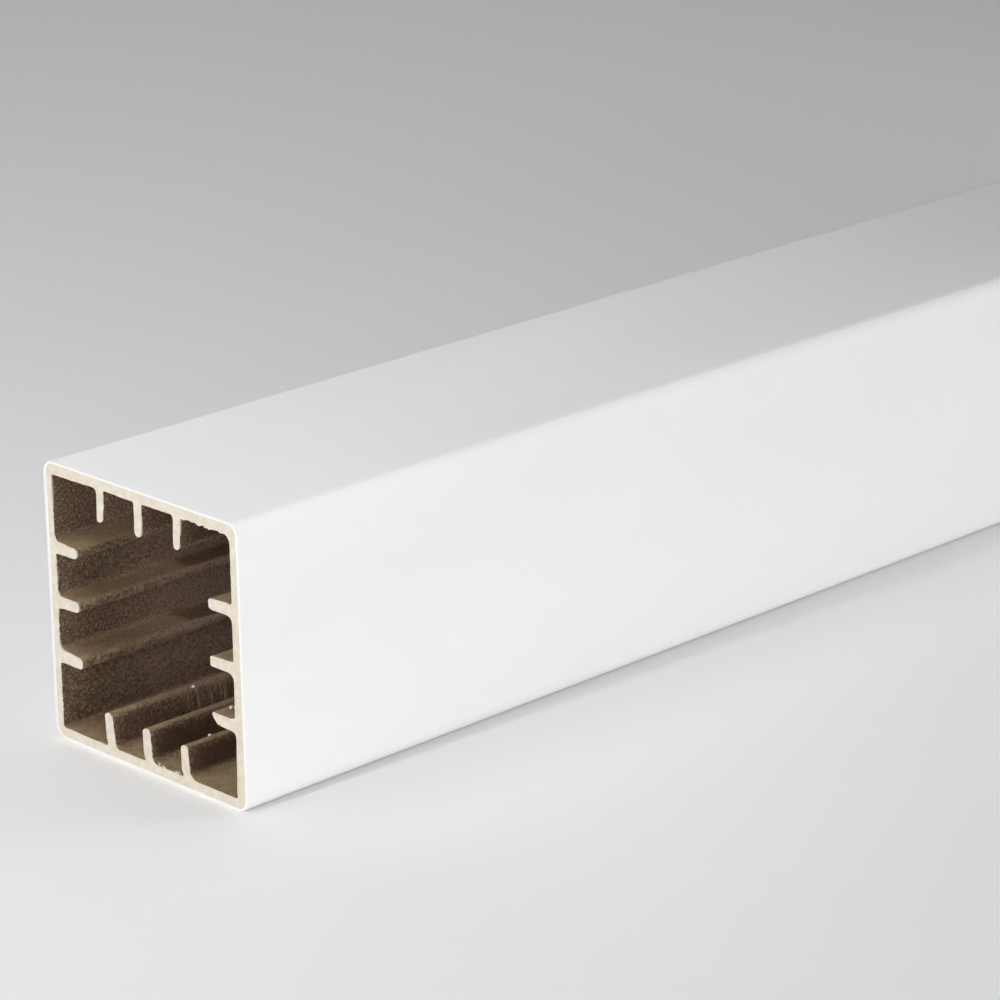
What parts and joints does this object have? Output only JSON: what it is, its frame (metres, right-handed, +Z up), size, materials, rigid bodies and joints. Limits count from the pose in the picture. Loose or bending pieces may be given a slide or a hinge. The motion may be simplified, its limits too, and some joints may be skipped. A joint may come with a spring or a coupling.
{
  "type": "post sleeve",
  "caption": "Square hollow composite sleeve with ribbed inner walls, slid over a structural post to clad it, lying on one side.",
  "frame": {"origin": "centre of the underside, where the sleeve lies on the ground", "axes": "+Y along the sleeve, from the sawn end that shows towards the far end; +Z up; +X to the right as that end is looked into"},
  "size_m": [0.1396, 1.0668, 0.1397],
  "materials": {
    "capstock": "satin white co-extruded skin with very faint lines along the length",
    "sawn_core": "dry cream wood-filled core as the saw left it, with fine teeth marks",
    "bore_skin": "rough dark brown extruded skin with fine ripples across the length"
  },
  "bodies": {
    "root": {"sleeve": "capstock"}
  },
  "joints": []
}
